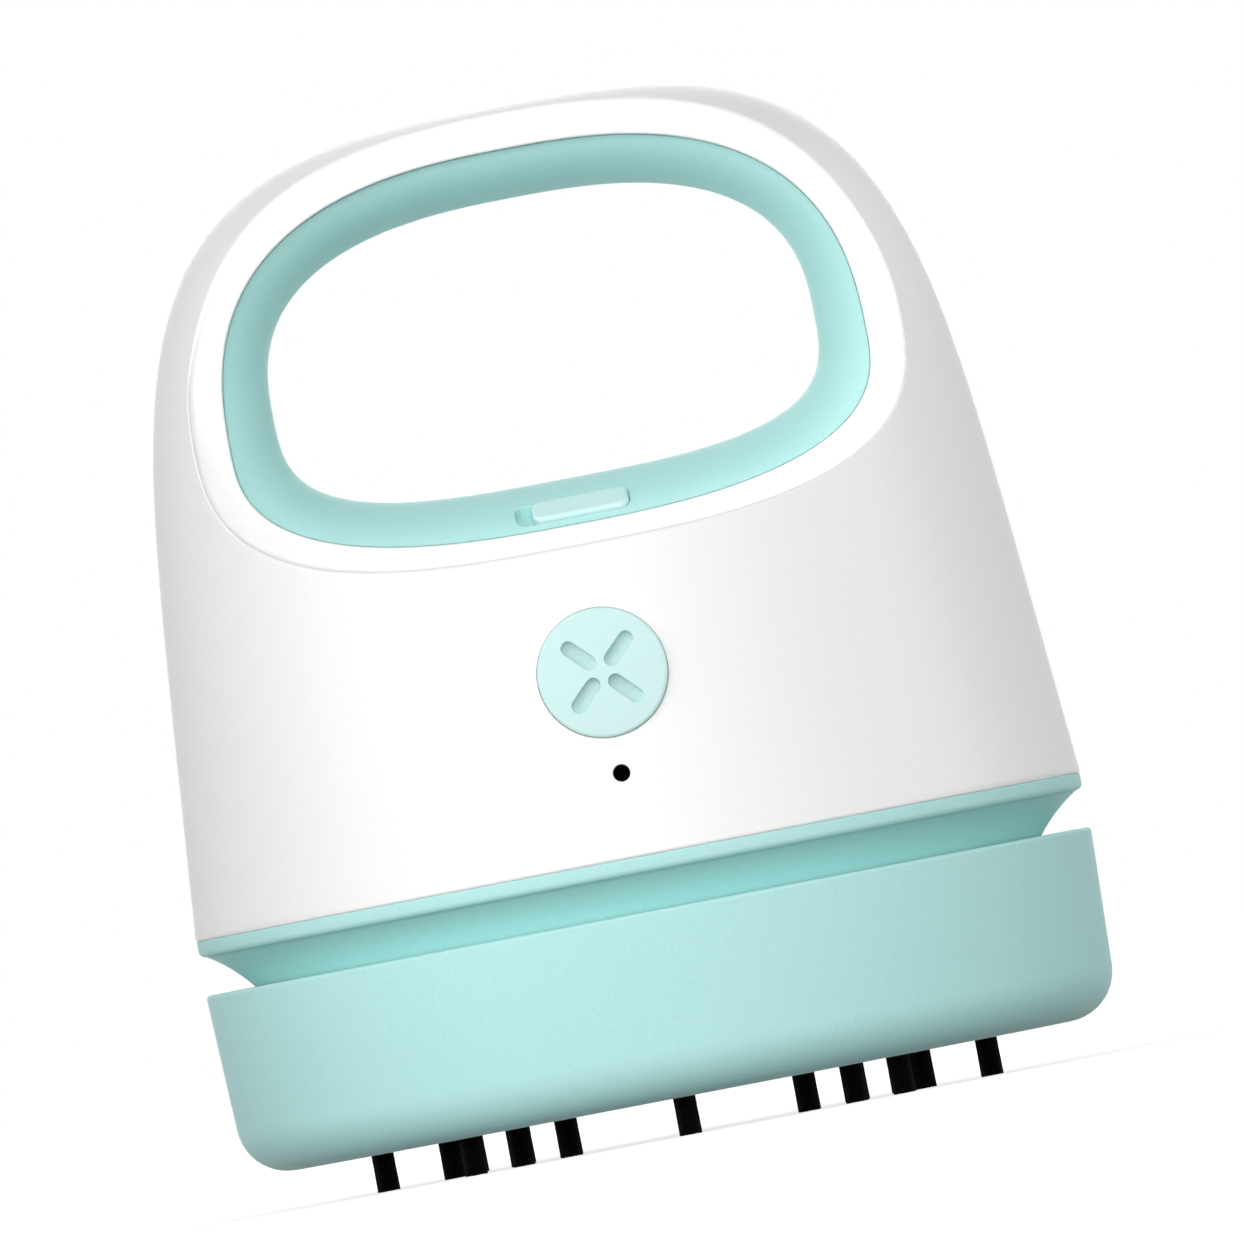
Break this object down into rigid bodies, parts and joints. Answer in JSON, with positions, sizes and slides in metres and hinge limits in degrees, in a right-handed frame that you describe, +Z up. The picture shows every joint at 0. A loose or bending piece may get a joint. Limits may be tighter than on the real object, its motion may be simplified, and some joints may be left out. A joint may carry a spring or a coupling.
{
  "type": "desktop mini vacuum cleaner",
  "caption": "Palm-size desk vacuum: white dome with a lined handle opening, slide key and push button, lifting off a mint dust cup that stands on brush tufts.",
  "frame": {"origin": "centre of the dome's axis on the surface that the brush tufts stand on", "axes": "+Z up along the dome's axis, push button towards -Y"},
  "size_m": [0.11, 0.11, 0.1274],
  "materials": {
    "white_shell": "satin moulded white plastic",
    "mint_body": "satin moulded mint plastic",
    "mint_light": "satin moulded light mint plastic",
    "black_plastic": "moulded black plastic",
    "black_lens": "dark glossy lamp lens",
    "lamp_white": "small lamp",
    "board_green": "circuit board with solder mask",
    "seal_rubber": "soft black rubber",
    "filter_felt": "white filter felt",
    "tuft_nylon": "black nylon bristles",
    "screw_steel": "zinc plated steel",
    "motor_steel": "plated steel",
    "cell_wrap": "shrink wrap sleeve"
  },
  "bodies": {
    "dust_cup": {"dust_cup": "mint_body", "brush_plate": "mint_body", "brush_tufts": "tuft_nylon", "base_screws": "screw_steel"},
    "main_unit": {"front_shell": "white_shell", "rear_shell": "white_shell", "handle_liner": "mint_body", "slide_switch": "black_plastic", "tact_switch": "black_plastic", "control_board": "board_green", "status_led": "lamp_white", "indicator_lens": "black_lens", "waist_ring": "mint_body", "cup_seal": "seal_rubber", "filter_frame": "white_shell", "filter_pad": "filter_felt", "motor_plate": "white_shell", "plate_screws": "screw_steel", "motor_screws": "screw_steel", "motor_can": "motor_steel", "motor_end_cap": "black_plastic", "battery_cell": "cell_wrap", "battery_clamp": "black_plastic", "charge_board": "board_green", "charge_socket": "motor_steel", "housing_screws": "screw_steel"},
    "fan": {"impeller": "white_shell", "motor_shaft": "motor_steel"},
    "power_slide": {"power_slide": "mint_light"},
    "front_button": {"front_button": "mint_light", "switch_plunger": "black_plastic"}
  },
  "joints": [
    {"name": "cup_release", "type": "slide", "parent": "dust_cup", "child": "main_unit", "axis": [0, 0, 1], "range_m": [0, 0.03]},
    {"name": "fan_spin", "type": "hinge", "parent": "main_unit", "child": "fan", "pos_m": [0, 0, 0.03], "axis": [0, 0, 1], "continuous": true},
    {"name": "power_slide_travel", "type": "slide", "parent": "main_unit", "child": "power_slide", "axis": [-1, 0, 0], "range_m": [0, 0.002]},
    {"name": "button_press", "type": "slide", "parent": "main_unit", "child": "front_button", "axis": [0, 0.9963, -0.0855], "range_m": [0, 0.001], "stiffness_N_per_m": 400}
  ]
}
